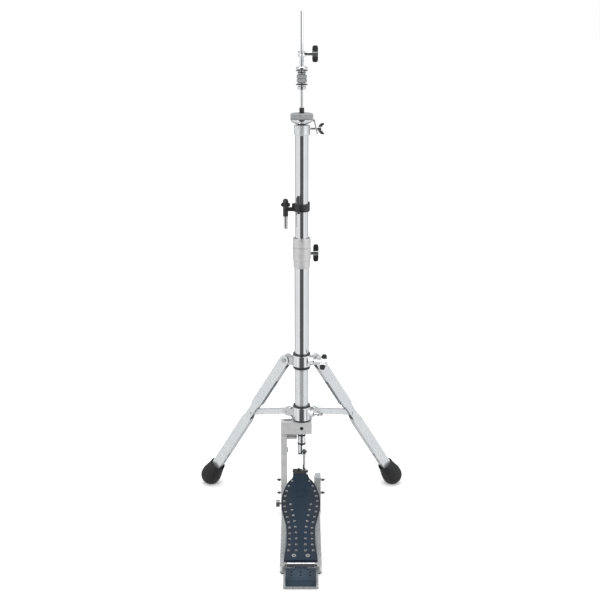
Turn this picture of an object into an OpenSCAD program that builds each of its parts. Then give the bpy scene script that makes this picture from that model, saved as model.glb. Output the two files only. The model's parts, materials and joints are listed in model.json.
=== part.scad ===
// Hi-hat stand with two folding legs and a direct-drive pedal.
// Millimetres. The origin is on the floor under the axis of the tubes.
// +Z is up, +Y points away from the drummer and +X is the drummer's right.

/* [Tubes and rods] */
// Height of the top end of the pull rod
rod_top_z = 1125; // [1125:1:1160]
// Radius of the upper pull rod
rod_r = 3; // [3:0.1:3.2]
// Outer radius of the base tube
base_tube_r = 15.2; // [15:0.1:15.4]
// Outer radius of the lower tube
lower_tube_r = 15.9; // [15.8:0.1:16.2]
// Outer radius of the upper tube
upper_tube_r = 14.15; // [14:0.05:14.15]
// Height of the top of the upper tube
upper_tube_top_z = 880; // [870:1:890]

/* [Legs] */
// Height of the pivots that join the legs to the upper collar
leg_pivot_z = 368; // [366:1:370]
// Distance of those pivots from the axis of the tubes
leg_pivot_r = 41.7; // [41:0.1:43]
// Angle between a leg and the vertical when spread
leg_spread = 33; // [31:0.5:35]
// Angle of the legs behind the line across the stand
leg_azimuth = 33; // [30:1:36]
// Distance down a leg to its brace pivot
brace_joint_a = 180; // [176:1:184]
// Height of the brace pivots on the lower collar
brace_pivot_z = 243.5; // [242:0.5:245]
// Distance of those pivots from the axis of the tubes
brace_pivot_r = 38.5; // [38:0.5:40]
// Width of a leg, seen from its side
leg_w = 23; // [22:0.5:24]
// Thickness of a leg
leg_t = 20; // [19:0.5:21]
// Wall of the leg channel
leg_wall = 2; // [1.5:0.5:2]
// Radius of the rubber feet
foot_r = 24.5; // [23:0.5:26]

/* [Pedal] */
// Sideways offset of the pedal from the tubes
pedal_x = -2; // [-3:0.5:0]
// Distance from the tubes forward to the heel hinge
heel_y = 282; // [275:1:290]
// Height of the heel hinge
heel_z = 28; // [27:0.5:30]
// Height of the toe pin with the board up
toe_z = 101; // [98:0.5:103]
// Thickness of the footboard
board_t = 6; // [5:0.5:7]
// Half width of the footboard at the heel
board_heel_half = 35; // [33:0.5:36]
// Half width of the footboard at its waist
board_waist_half = 30.4; // [28:0.5:32]
// Half width of the footboard under the ball of the foot
board_ball_half = 43.4; // [40:0.5:44]
// Half width of the footboard at its neck
board_neck_half = 20.5; // [19:0.5:22]
// Half width of the base rails
base_half = 43.6; // [43:0.2:46]
// Half width of the heel block
heel_half = 36; // [34:0.5:38]

/* [Clutch and seat] */
// Height of the middle of the clutch clamp
clutch_z = 1039; // [1035:1:1045]
// Radius of the clutch washers
clutch_washer_r = 12.5; // [11:0.5:14]
// Radius of the seat felt
seat_felt_r = 24; // [22:1:28]
// Height of the underside of the seat felt
seat_felt_z = 907; // [905:1:909]

/* [Hidden] */
$fn = 64;

run_gap = 0.05;   // radial gap of a running fit
eps = 0.5;        // how far a cutter passes a face

CHROME = [0.80, 0.82, 0.84];
SATIN = [0.72, 0.74, 0.75];
STEEL = [0.60, 0.62, 0.64];
BLACK = [0.10, 0.10, 0.11];
FELT = [0.48, 0.48, 0.47];
NAVY = [0.14, 0.22, 0.31];
SLATE = [0.30, 0.37, 0.42];

// Head of the frame casting, which holds the base tube
head_top_z = 230;
head_bottom_z = 203;
head_floor = 3;
head_left_x = -47;
head_right_x = 23;
head_front_y = -20;
head_back_y = 17;
arm_w = 13.5;
arm_back_y = 6;
arm_bend_z = 150;
knob_z = 27;

// Base: pad, plate, rails and tower, which all end short of the folded legs
pad_t = 2;
plate_t = 4;
base_back_y = 6;
rail_front_y = 272;
heel_front_y = 327;
rail_w = 10;
rail_top_z = 17;
tower_x = [29, 44];
tower_front_y = -20;
tower_top_z = 94;

// Tubes
tube_join_z = 371;
base_tube_bore_r = 12.5;
lower_tube_bore_r = upper_tube_r + run_gap;
spigot_top_z = 400;
lower_tube_top_z = 600;
upper_tube_bottom_z = 470;
upper_tube_bore_r = 12.4;

// Width of the wings of the three large wing screws
wing_w = 12;

// Pull rod
lower_rod_r = 4;
rod_joint_z = 367;
spring_bottom_z = head_bottom_z + head_floor + 8;
spring_top_z = 335;
spring_r = 11.5;
spring_wire_r = 1.1;
spring_turns = 12;
link_x = 5.7;
link_w = 7.4;
clevis_pin_z = 151;
clevis_top_z = 200;
clevis_r = 9;
clevis_ring_z = [171, 192];
tang_r = 7.2;

// Footboard
board_top_n = 4;
toe_dy = heel_y;
toe_dz = toe_z - heel_z;
toe_pin_n = -4;
toe_reach = sqrt(toe_dy * toe_dy + toe_dz * toe_dz);
board_tilt = atan2(toe_dz, toe_dy) - asin(toe_pin_n / toe_reach);
toe_s = sqrt(toe_reach * toe_reach - toe_pin_n * toe_pin_n);
board_start_s = 9;
waist_s = 62;
hip_s = 90;
ball_s = 183;
neck_s = 256;
board_end_s = 273;
toe_block_end_s = 297;
toe_block_half = 15.5;
toe_block_x = -2.3;
knuckle_r = 5;
hinge_pin_r = 2.5;

// Legs and braces
brace_joint_r = leg_pivot_r + brace_joint_a * sin(leg_spread);
brace_joint_z = leg_pivot_z - brace_joint_a * cos(leg_spread);
brace_run = brace_joint_r - brace_pivot_r;
brace_drop = brace_pivot_z - brace_joint_z;
brace_len = sqrt(brace_run * brace_run + brace_drop * brace_drop);
brace_slope = atan2(brace_drop, brace_run);
brace_h = 13;
brace_t = 8;
leg_pin_r = 3;
foot_a = 413;
leg_end_a = 392;
SIDES = [[-1, 180 - leg_azimuth], [1, leg_azimuth]];

// Collars
collar_r = 20.5;
collar_bore_r = 17.5;
upper_collar_z = [362, 388];
lower_collar_z = [233.5, 264];
collar_screw_azimuth = -18;
hub_screw_z = 375;
hub_wing_x = 27;
hub_wing_turn = -37;
collar_screw_z = 249;

// Height clamp
clamp_bottom_z = 605;
clamp_top_z = 654;
clamp_r = 19.5;
clamp_bolt_z = 613.5;
height_hub_x = 24;
clamp_bolt_y = 27;
clamp_bush_r = 15.6;

// Clutch
clutch_hub_x = 17;
clutch_felt_r = 10.6;
clutch_bottom_z = 967;

// Seat, which tilts about seat_pivot_z
seat_pivot_z = seat_felt_z + 4;
felt_h = 12;
sleeve_neck_r = 5;
sleeve_top_z = 930;
cap_r = 16.3;
cap_bottom_z = 874;
cap_top_z = 894.6;
tilt_screw_z = 887;

// Memory lock
lock_z = [712, 729];
lock_screw_azimuth = -106;
lock_r = 17.5;
key_x = -34.5;
key_r = 4.4;

// ---------- shared shapes ----------

function smooth(t) = (1 - cos(180 * t)) / 2;
function mix(a, b, t) = a + (b - a) * t;
function share(v, low, high) = (v - low) / (high - low);

// A round bar or tube between two heights
module tube(r, z0, z1, bore = 0) {
    translate([0, 0, z0])
        difference() {
            cylinder(r = r, h = z1 - z0);
            if (bore > 0)
                translate([0, 0, -eps]) cylinder(r = bore, h = z1 - z0 + 2 * eps);
        }
}

// A tube with its outer edges eased by c
module eased_tube(r, z0, z1, bore, c) {
    rotate_extrude()
        polygon([[bore, z0], [r - c, z0], [r, z0 + c], [r, z1 - c], [r - c, z1], [bore, z1]]);
}

// A cylinder along +X between two places
module bar_x(r, x0, x1) {
    translate([x0, 0, 0]) rotate([0, 90, 0]) cylinder(r = r, h = x1 - x0);
}

// A box between two corners
module block(low, high) {
    translate(low) cube(high - low);
}

// Puts a shape drawn in (across, up) into the upright plane through +X, t thick
module upright(t) {
    rotate([90, 0, 0]) linear_extrude(t, center = true) children();
}

// A wing screw along +X: its point at 0, its wings in the XZ plane
module wing_screw(shank_r, hub_x, hub_len, hub_r, span, neck_x) {
    bar_x(shank_r, 0, hub_x + 1);
    bar_x(hub_r - 0.8, neck_x, hub_x + 1);
    bar_x(hub_r, hub_x, hub_x + hub_len);
    upright(4) {
        translate([hub_x + 1, -5]) square([wing_w, 10]);
        for (s = [-1, 1])
            polygon([
                [hub_x + 1, s * 4.5], [hub_x + 1 + wing_w, s * 4.5],
                [hub_x + wing_w - 1, s * (span - 5)], [hub_x + 3, s * (span - 5)]
            ]);
    }
}

// The moulded grips over the ends of those wings
module wing_grips(hub_x, span) {
    middle_x = hub_x + 1 + wing_w / 2;
    for (s = [-1, 1])
        upright(6)
            difference() {
                union() {
                    polygon([
                        [middle_x - 6.6, s * 5.6], [middle_x + 6.6, s * 5.6],
                        [middle_x + 5, s * (span - 3.5)], [middle_x - 5, s * (span - 3.5)]
                    ]);
                    translate([middle_x - 5, min(s * (span - 4), s * span)]) square([10, 4]);
                }
                polygon([
                    [hub_x + 1, s * 4.5], [hub_x + 1 + wing_w, s * 4.5],
                    [hub_x + wing_w - 1, s * (span - 5)], [hub_x + 3, s * (span - 5)]
                ]);
            }
}

// ---------- pedal base ----------

module base_outline(inset) {
    translate([pedal_x - base_half + inset, -rail_front_y])
        square([2 * (base_half - inset), rail_front_y + base_back_y - inset]);
    translate([pedal_x - heel_half + inset, -heel_front_y - 3 + inset])
        square([2 * (heel_half - inset), heel_front_y + 3 - rail_front_y]);
}

module base_pad() {
    color(BLACK) linear_extrude(pad_t) base_outline(3);
}

module base_plate() {
    color(SATIN) translate([0, 0, pad_t]) linear_extrude(plate_t) base_outline(0);
}

// Both rails, and the short tower on the right one
module side_rails() {
    base_top = pad_t + plate_t;
    color(SATIN) {
        for (s = [-1, 1])
            translate([pedal_x + s * (base_half - rail_w / 2), 0, base_top])
                linear_extrude(rail_top_z - base_top) {
                    translate([-rail_w / 2, -rail_front_y + rail_w / 2])
                        square([rail_w, rail_front_y - rail_w / 2 + base_back_y]);
                    translate([0, -rail_front_y + rail_w / 2]) circle(d = rail_w);
                }
        difference() {
            block([tower_x[0], tower_front_y, base_top], [tower_x[1], base_back_y, tower_top_z]);
            // step above the rail, and the seam of the top block
            block([tower_x[0] - eps, tower_front_y - eps, tower_top_z - 6],
                  [tower_x[0] + 2, base_back_y + eps, tower_top_z + eps]);
            block([tower_x[0] - eps, tower_front_y - eps, tower_top_z - 15],
                  [tower_x[1] + eps, tower_front_y + 1, tower_top_z - 14]);
        }
    }
}

// Head around the base tube, with the left arm down to the base
module frame_casting() {
    base_top = rail_top_z;
    color(SATIN)
        difference() {
            union() {
                block([-23, head_front_y, head_bottom_z], [head_right_x, head_back_y, head_top_z]);
                block([head_left_x, head_front_y, head_bottom_z], [-22, arm_back_y, head_top_z]);
                // upper arm
                block([head_left_x, -14, arm_bend_z], [head_left_x + arm_w, arm_back_y, head_bottom_z + 1]);
                // boss at the bend
                translate([head_left_x + arm_w, -4, arm_bend_z + 7]) bar_x(6, -4, 2.5);
                // gusset under the head, its lower edge proud
                block([head_left_x + arm_w - 1, 0, head_bottom_z - 16],
                      [-10.5, arm_back_y, head_bottom_z + 1]);
                block([head_left_x + arm_w - 1, -6, head_bottom_z - 19],
                      [-10.5, arm_back_y, head_bottom_z - 14]);
                // lower arm, leaning forward to the rail
                translate([head_left_x, 0, 0])
                    rotate([0, 0, 90])
                        translate([0, -arm_w / 2, 0])
                            upright(arm_w)
                                polygon([
                                    [-14, arm_bend_z], [arm_back_y, arm_bend_z], [base_back_y, base_top],
                                    [-32, base_top], [-29, 60]
                                ]);
            }
            translate([0, 0, head_bottom_z + head_floor])
                cylinder(r = base_tube_r, h = head_top_z);
            translate([0, 0, head_bottom_z - eps]) cylinder(r = 6, h = head_floor + 2 * eps);
            // pocket in the top face beside the tube
            translate([0, -3, head_top_z - 14])
                linear_extrude(15) {
                    translate([-36, -5]) square([10, 10]);
                    for (x = [-36, -26]) translate([x, 0]) circle(r = 5);
                }
            // shallow panel on the front face
            block([-40, head_front_y - eps, head_bottom_z + 8], [-22, head_front_y + 0.8, head_top_z - 7]);
            // seat of the set screw
            translate([0, head_front_y - eps, (head_top_z + head_bottom_z) / 2])
                rotate([-90, 0, 0]) cylinder(r = 4.2, h = -head_front_y - base_tube_r + 1);
        }
}

module heel_plate() {
    base_top = pad_t + plate_t;
    top_z = 24;
    half = 31.2;
    color(SLATE)
        difference() {
            translate([pedal_x - half, 0, 0])
                rotate([0, 0, 90])
                    translate([0, -half, 0])
                        upright(2 * half)
                            polygon([
                                [-heel_front_y, base_top], [-heel_front_y, 17.5],
                                // bright bead along the front edge
                                [-heel_front_y - 1.4, 18.2], [-heel_front_y - 1.6, 21],
                                [-heel_front_y - 0.6, 23.2],
                                [-heel_front_y + 1, top_z], [-heel_front_y + 1.6, top_z],
                                [-heel_front_y + 1.6, top_z - 1.4], [-heel_front_y + 2.8, top_z - 1.4],
                                [-heel_front_y + 2.8, top_z], [-heel_y - 7, top_z], [-heel_y - 7, base_top]
                            ]);
            // hollow inside
            block([pedal_x - half + 3, -heel_front_y + 4, base_top - eps],
                  [pedal_x + half - 3, -heel_y - 10, top_z - 3]);
            // triangular openings: two, three and three
            for (row = [[-294, [-14.5, 14.5], 3], [-303.5, [-19, 0, 19], 3.6], [-314.5, [-19, 0, 19], 3.6]])
                for (x = row[1])
                    translate([pedal_x + x, row[0], top_z - 4])
                        rotate([0, 0, 90]) cylinder(r = row[2], h = 5, $fn = 3);
        }
}

// ---------- heel hinge ----------

module knuckle(x0, x1) {
    translate([pedal_x, -heel_y, heel_z])
        difference() {
            bar_x(knuckle_r, x0, x1);
            bar_x(hinge_pin_r + run_gap, x0 - eps, x1 + eps);
        }
}

module heel_hinge_leaf() {
    base_top = pad_t + plate_t;
    color(CHROME) {
        knuckle(-12.7, 12.7);
        difference() {
            block([pedal_x - 12.7, -heel_y - 7, base_top], [pedal_x + 12.7, -heel_y + 4, heel_z]);
            translate([pedal_x, -heel_y, heel_z]) bar_x(knuckle_r, -20, 20);
        }
    }
}

module heel_hinge_pin() {
    color(STEEL) translate([pedal_x, -heel_y, heel_z]) {
        bar_x(hinge_pin_r, -31, 31);
        bar_x(4, -33, -30.5);
        bar_x(4, 30.5, 33);
    }
}

// Places a shape drawn in the board's frame: X across, Y up the board, Z out of its face
module on_board() {
    translate([pedal_x, -heel_y, heel_z]) rotate([board_tilt, 0, 0]) children();
}

module board_hinge_leaf() {
    color(CHROME)
        for (x = [[-28.5, -13.1], [13.1, 28.5]]) {
            knuckle(x[0], x[1]);
            on_board()
                difference() {
                    block([x[0], 0, board_top_n - board_t - 2],
                          [x[1], 34, board_top_n - board_t]);
                    bar_x(knuckle_r, -40, 40);
                }
        }
}

// ---------- footboard ----------

function board_half(s) =
    s < waist_s ? mix(board_heel_half, board_waist_half, smooth(share(s, board_start_s, waist_s)))
    : s < hip_s ? board_waist_half
    : s < ball_s ? mix(board_waist_half, board_ball_half, smooth(share(s, hip_s, ball_s)))
    : s < neck_s ? mix(board_neck_half, board_ball_half, pow(1 - pow(share(s, ball_s, neck_s), 1.5), 2 / 3))
    : mix(board_neck_half, toe_block_half, share(s, neck_s, board_end_s));

// Distance of the inner row of holes from the middle of the board
function inner_row_x(s) = 9.6 + 13 * pow(max(0, s - 75) / 99, 1.5);

module board_outline() {
    steps = 68;
    right = [for (i = [0:steps]) let (s = mix(board_start_s, board_end_s, i / steps)) [board_half(s), s]];
    left = [for (i = [steps:-1:0]) [-right[i][0], right[i][1]]];
    polygon(concat(right, left));
}

module footboard() {
    hole_r = 2.7;
    edge_inset = 6.8;
    color(NAVY)
        on_board()
            translate([0, 0, board_top_n - board_t])
                difference() {
                    linear_extrude(board_t) board_outline();
                    for (i = [0:13], side = [-1, 1]) {
                        s = 36 + i * 16.4;
                        translate([side * (board_half(s) - edge_inset), s, -eps])
                            cylinder(r = hole_r, h = board_t + 2 * eps, $fn = 24);
                    }
                    for (i = [0:8], side = [-1, 1]) {
                        s = 36 + i * 17.2;
                        translate([side * inner_row_x(s), s, -eps])
                            cylinder(r = hole_r, h = board_t + 2 * eps, $fn = 24);
                    }
                    // plain ring in place of a badge
                    translate([0, 209, board_t - 0.6]) tube(15.5, 0, 2, 14.3);
                    translate([0, 209, board_t - 0.6]) tube(10, 0, 2, 8.8);
                    // seats of the two hinge screws
                    for (x = [-14.3, 14.3])
                        translate([x, 22, -eps]) cylinder(r = 4.5, h = board_t + 2 * eps);
                }
}

// Hinge screws and the toe pin
module board_fasteners() {
    color(STEEL)
        on_board() {
            for (x = [-14.3, 14.3])
                translate([x, 22, 0]) {
                    tube(4.5, board_top_n - board_t, board_top_n, 1.6);
                    tube(1.6, board_top_n - board_t, board_top_n - 1.5);
                }
            translate([0, toe_s, toe_pin_n]) {
                bar_x(2.5, -19, 17);
                bar_x(4, 13.4, 16);
            }
            // knurled stud on the toe block
            translate([-4.5, toe_block_end_s - 12, 0]) tube(2.4, board_top_n + 0.4, board_top_n + 6);
        }
}

// Black fork at the toe, which takes the lower end of the drive link
module toe_block() {
    slot_x = link_x - pedal_x;
    slot_w = link_w + 1.6;
    top_n = board_top_n + 0.4;
    color(BLACK)
        on_board()
            difference() {
                translate([toe_block_x - toe_block_half, 0, 0])
                    rotate([90, 0, 90])
                        linear_extrude(2 * toe_block_half)
                            polygon([
                                [board_end_s, -10], [board_end_s, top_n], [toe_block_end_s - 8, top_n],
                                [toe_block_end_s, -1], [toe_block_end_s, -10]
                            ]);
                // slot of the drive link, open behind and above
                block([slot_x - slot_w / 2, toe_s - 7, -11],
                      [slot_x + slot_w / 2, toe_block_end_s + 1, 8]);
                translate([0, toe_s, toe_pin_n]) bar_x(2.5, -30, 30);
            }
}

module frame_screws() {
    color(STEEL) {
        // set screw of the base tube
        translate([0, head_front_y + 1, (head_top_z + head_bottom_z) / 2])
            rotate([-90, 0, 0])
                difference() {
                    cylinder(r = 4.2, h = -head_front_y - 1 - base_tube_r);
                    translate([0, 0, -eps]) cylinder(r = 2.2, h = 2.5, $fn = 6);
                }
        // thumb screws on the outer sides of the arm and the tower
        for (z = [51, 84], side = [0, 1])
            translate([side == 0 ? head_left_x : tower_x[1], -8, z])
                mirror([1 - side, 0, 0]) {
                    bar_x(2.5, 0, 5);
                    bar_x(4.2, 2.5, 7);
                    bar_x(2, 7, 10);
                }
    }
}

// Knob of the floor spur, low on the left arm
module side_knob() {
    color(CHROME)
        translate([head_left_x, -16, knob_z]) {
            mirror([1, 0, 0]) {
                translate([0.3, 0, 0]) bar_x(2.5, 0, 4);
                difference() {
                    bar_x(8.5, 3.5, 12);
                    for (a = [0:60:300])
                        rotate([a, 0, 0]) translate([0, 10, 0]) bar_x(2.6, 3, 13);
                }
            }
        }
}

// ---------- link and pull rod ----------

module drive_link() {
    color(CHROME)
        difference() {
            union() {
                translate([link_x, 0, clevis_pin_z]) bar_x(tang_r - 0.6, -link_w / 2 + 0.3, link_w / 2);
                translate([link_x, 0, toe_z]) bar_x(6.2, -link_w / 2, link_w / 2);
                translate([link_x, 0, 0]) tube(3.4, toe_z + 4, clevis_pin_z - 4);
                translate([link_x, 0, 0]) tube(3.7, clevis_pin_z - 13, clevis_pin_z - 8);
                translate([link_x, 0, 0]) tube(3.7, toe_z + 8, toe_z + 12);
            }
            translate([link_x, 0, clevis_pin_z]) bar_x(2 + run_gap, -10, 10);
            // open pivot: the toe pin passes through with room to move
            translate([link_x, 0, toe_z]) bar_x(3.8, -10, 10);
        }
}

module clevis() {
    color(CHROME)
        difference() {
            union() {
                tube(clevis_r, 169, clevis_top_z);
                intersection() {
                    tube(clevis_r, clevis_pin_z, 169.5);
                    block([-clevis_r, -clevis_r, 140], [1.7, clevis_r, 170]);
                }
                intersection() {
                    translate([0, 0, clevis_pin_z]) bar_x(tang_r, -clevis_r, 1.7);
                    tube(clevis_r, 140, 170);
                }
            }
            translate([0, 0, 180]) cylinder(r = lower_rod_r, h = 30);
            translate([0, 0, clevis_pin_z]) bar_x(2, -20, 20);
            for (z = clevis_ring_z)
                tube(clevis_r + 1, z, z + 4, clevis_r - 1.2);
            // grip groove
            tube(clevis_r + 1, 183.6, 184.4, clevis_r - 0.8);
        }
}

module clevis_pin() {
    color(STEEL)
        translate([0, 0, clevis_pin_z]) {
            bar_x(2, -7, 12);
            bar_x(3.4, 9.8, 12.2);
        }
}

module clevis_rings() {
    color(BLACK)
        for (z = clevis_ring_z)
            tube(clevis_r + 0.4, z, z + 4, clevis_r - 1.2);
}

module lower_pull_rod() {
    color(STEEL) {
        tube(lower_rod_r, 180, rod_joint_z);
        // collar that the spring pushes up on
        tube(12, spring_top_z, spring_top_z + 6, lower_rod_r - 1);
    }
}

module rod_coupling() {
    color(STEEL)
        difference() {
            translate([0, 0, 350]) cylinder(r = 7.5, h = 36, $fn = 6);
            translate([0, 0, 349]) cylinder(r = lower_rod_r, h = 18);
            translate([0, 0, rod_joint_z - eps]) cylinder(r = rod_r, h = 21);
        }
}

module upper_rod() {
    color(CHROME)
        rotate_extrude()
            polygon([
                [0, rod_joint_z], [rod_r, rod_joint_z], [rod_r, rod_top_z - 1.5],
                [rod_r - 1.5, rod_top_z], [0, rod_top_z]
            ]);
}

module return_spring() {
    sides = 6;
    steps = spring_turns * 16;
    wire = spring_wire_r;
    rise = spring_top_z - spring_bottom_z - 2 * wire - 0.6;
    points = [
        for (i = [0:steps], k = [0:sides - 1])
            let (a = 360 * spring_turns * i / steps, b = 360 * k / sides, r = spring_r - wire + wire * cos(b))
                [r * cos(a), r * sin(a), spring_bottom_z + 0.3 + wire + rise * i / steps + wire * sin(b)]
    ];
    walls = [
        for (i = [0:steps - 1], k = [0:sides - 1])
            let (j = i * sides, n = (k + 1) % sides) [j + k, j + sides + k, j + sides + n, j + n]
    ];
    ends = [
        [for (k = [0:sides - 1]) k],
        [for (k = [sides - 1:-1:0]) steps * sides + k]
    ];
    color(STEEL) polyhedron(points, concat(walls, ends));
}

module guide_bush() {
    color(BLACK)
        tube(base_tube_bore_r, head_bottom_z + head_floor, spring_bottom_z, lower_rod_r + run_gap);
}

// ---------- tubes ----------

module base_tube() {
    color(SATIN)
        difference() {
            union() {
                tube(base_tube_r, head_bottom_z + head_floor, tube_join_z);
                tube(lower_tube_bore_r, tube_join_z, spigot_top_z);
            }
            translate([0, 0, head_bottom_z]) cylinder(r = base_tube_bore_r, h = 220);
        }
}

module lower_tube() {
    color(CHROME) tube(lower_tube_r, tube_join_z, lower_tube_top_z, lower_tube_bore_r);
}

module upper_tube() {
    color(CHROME) tube(upper_tube_r, upper_tube_bottom_z, upper_tube_top_z, upper_tube_bore_r);
}

// Split clamp on top of the lower tube; its ears and bolt are behind
module height_clamp() {
    color(SATIN)
        difference() {
            union() {
                rotate_extrude()
                    polygon([
                        [12, clamp_bottom_z - 17], [clamp_r - 2.5, clamp_bottom_z - 17],
                        [clamp_r - 1.5, clamp_bottom_z - 16], [clamp_r - 1.5, clamp_bottom_z],
                        [clamp_r, clamp_bottom_z + 1.5], [clamp_r, 632.5], [clamp_r - 1, 633],
                        [clamp_r - 1, 634], [clamp_r, 634.5], [clamp_r, clamp_top_z - 1.5],
                        [clamp_r - 1.5, clamp_top_z], [12, clamp_top_z]
                    ]);
                block([-11, 14, clamp_bolt_z - 9], [11, clamp_bolt_y + 7, clamp_bolt_z + 12]);
            }
            // bores for the tube below and the bushing above
            translate([0, 0, clamp_bottom_z - 30])
                cylinder(r = lower_tube_r, h = lower_tube_top_z - clamp_bottom_z + 30);
            translate([0, 0, clamp_bottom_z - 30]) cylinder(r = clamp_bush_r, h = 100);
            // hole of the tube's grub screw
            translate([0, -clamp_r - eps, clamp_bottom_z - 4])
                rotate([-90, 0, 0]) cylinder(r = 2, h = 3);
            // split
            block([-1.2, 10, clamp_bottom_z - 20], [1.2, clamp_bolt_y + 8, clamp_top_z + 1]);
            translate([0, clamp_bolt_y, clamp_bolt_z]) bar_x(3.1, -12, 12);
            // notch at the front of the top edge
            translate([0, -clamp_r - 1, clamp_top_z - 1]) rotate([-90, 0, 0]) cylinder(r = 3.4, h = 3.2);
        }
}

module height_bushing() {
    color(BLACK)
        difference() {
            tube(clamp_bush_r, lower_tube_top_z, clamp_top_z - 1, upper_tube_r + run_gap);
            block([-1.2, 0, lower_tube_top_z - 1], [1.2, 20, clamp_top_z]);
        }
}

module height_wing_bolt() {
    color(CHROME)
        translate([0, clamp_bolt_y, clamp_bolt_z]) {
            translate([-15, 0, 0]) bar_x(3, 0, 16);
            bar_x(5.2, -17, -11.4);
            wing_screw(3, height_hub_x, 13, 5.4, 19.4, 11.4);
        }
}

module height_wing_grips() {
    color(BLACK) translate([0, clamp_bolt_y, clamp_bolt_z]) wing_grips(height_hub_x, 19.4);
}

// ---------- clutch ----------

module clutch_body() {
    color(CHROME)
        difference() {
            union() {
                // clamp head: a waisted spool
                rotate_extrude()
                    polygon(concat(
                        [[0, clutch_z - 5.5], [6.6, clutch_z - 5.5]],
                        [for (a = [-60:15:60]) [8.6 - 2.2 * cos(a * 1.5), clutch_z + 4.5 * a / 60]],
                        [[6.6, clutch_z + 5.5], [0, clutch_z + 5.5]]
                    ));
                translate([0, 0, clutch_z]) bar_x(4.6, 0, 11);
                tube(3.9, clutch_z - 12, clutch_z - 5);
                tube(4.6, clutch_bottom_z, clutch_z - 12);
            }
            translate([0, 0, 960]) cylinder(r = rod_r + run_gap, h = 100);
            translate([0, 0, clutch_z]) bar_x(2.5, 0, 20);
        }
}

module clutch_lock_nut() {
    color(CHROME) eased_tube(12, 1007.6, 1013.2, 4.6, 1);
}

module clutch_washers() {
    color(BLACK) {
        eased_tube(clutch_washer_r, 1004.5, 1006.1, 4.6, 0.4);
        eased_tube(clutch_washer_r, 976.5, 978.1, 4.6, 0.4);
    }
}

module clutch_felts() {
    color(FELT) {
        eased_tube(clutch_felt_r, 989.8, 997.4, 4.6, 1);
        eased_tube(clutch_felt_r, 981.8, 989.4, 4.6, 1);
    }
}

module clutch_bottom_nut() {
    color(CHROME) {
        eased_tube(9, clutch_bottom_z + 0.5, 974, 4.6, 1);
        // cup washers above and below the felts
        eased_tube(9.4, 998, 1003.4, 4.6, 2.2);
        eased_tube(9.4, 978.5, 981.5, 4.6, 1);
    }
}

module clutch_wing_bolt() {
    color(CHROME)
        translate([rod_r + 0.3, 0, clutch_z])
            wing_screw(2.4, clutch_hub_x, 12, 4.4, 16.8, 8.5);
}

module clutch_wing_grips() {
    color(BLACK) translate([rod_r + 0.3, 0, clutch_z]) wing_grips(clutch_hub_x, 16.8);
}

// ---------- cymbal seat ----------

module tube_cap() {
    color(SATIN)
        difference() {
            union() {
                eased_tube(cap_r, cap_bottom_z, cap_top_z, 8, 1);
                // rib that the tilting screw bears on
                block([cap_r - 2, -2, cap_bottom_z], [cap_r + 1.4, 2, cap_top_z - 1]);
            }
            translate([0, 0, cap_bottom_z - 1])
                cylinder(r = upper_tube_r, h = upper_tube_top_z - cap_bottom_z + 1);
            translate([0, 0, cap_bottom_z]) cylinder(r = 8, h = 40);
            rotate([0, 0, -112]) translate([cap_r - 1.2, 0, cap_top_z - 5]) bar_x(1.8, 0, 4);
        }
}

// Half an ellipse below the felt, cut flat clear of the cap at every tilt
bowl_h = 12;
bowl_depth = 10.8;
bowl_outline = concat(
    [[0, seat_felt_z], [seat_felt_r, seat_felt_z]],
    [
        for (i = [0:12])
            let (d = mix(1, bowl_depth, i / 12))
                [seat_felt_r * sqrt(1 - pow(d / bowl_h, 2)), seat_felt_z - d]
    ],
    [[0, seat_felt_z - bowl_depth]]
);

module seat_cup() {
    color(CHROME)
        difference() {
            rotate_extrude() polygon(bowl_outline);
            translate([0, 0, 890]) cylinder(r = 4.55, h = 30);
        }
}

module seat_felt() {
    color(FELT) eased_tube(seat_felt_r, seat_felt_z, seat_felt_z + felt_h, sleeve_neck_r, 2);
}

module seat_sleeve() {
    color(BLACK)
        difference() {
            union() {
                tube(sleeve_neck_r, seat_felt_z, seat_felt_z + felt_h);
                tube(5.2, seat_felt_z + felt_h, sleeve_top_z);
            }
            translate([0, 0, 890]) cylinder(r = 4.55, h = 50);
        }
}

// Arm on the right of the bowl, which carries the tilting screw
module tilt_bracket() {
    color(SATIN)
        difference() {
            upright(9)
                polygon([
                    [20, seat_felt_z - 0.5], [25.4, seat_felt_z - 0.3],
                    [27.6, seat_felt_z - 2.2], [28.2, 900],
                    [33.8, 877], [31.2, 876.2], [25.6, 899.6], [24, 902.4], [21, 903]
                ]);
            rotate_extrude() polygon(bowl_outline);
            translate([0, 0, tilt_screw_z]) bar_x(2 + run_gap, 10, 60);
        }
}

module tilt_wing_bolt() {
    color(CHROME)
        translate([cap_r + 1.8, 0, tilt_screw_z]) {
            bar_x(2, 0, 16);
            bar_x(4, 15, 22.5);
            upright(3)
                for (s = [-1, 1])
                    polygon([
                        [16, s * 2], [21.5, s * 2], [28.5, s * 9.5], [28, s * 12], [22, s * 11], [17.5, s * 7]
                    ]);
        }
}

// ---------- memory lock and key ----------

module on_lock_screw(tip_r) {
    rotate([0, 0, lock_screw_azimuth]) translate([tip_r, 0, (lock_z[0] + lock_z[1]) / 2]) children();
}

module memory_lock() {
    z0 = lock_z[0];
    z1 = lock_z[1];
    color(BLACK)
        difference() {
            union() {
                eased_tube(lock_r, z0, z1, 10, 1);
                // arm to the key holder
                block([key_x + 3, -5, z0 + 0.6], [-10, 5, z0 + 8]);
                block([-21, -6, z0 + 0.6], [-10, 6, z1 - 0.6]);
                translate([key_x, 0, 0]) tube(key_r + 1.2, z0 - 11, z0 + 8);
                // boss of the screw
                on_lock_screw(10) bar_x(5.5, 0, lock_r - 6);
                // stop post
                translate([lock_r - 2, 0, 0]) tube(2, z0 + 6, z1 + 3.5);
            }
            tube(upper_tube_r + run_gap, z0 - 5, z1 + 5);
            translate([key_x, 0, z0 - 12]) cylinder(r = key_r + run_gap, h = 30);
            on_lock_screw(0) bar_x(3 + run_gap, 0, 40);
        }
}

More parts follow.
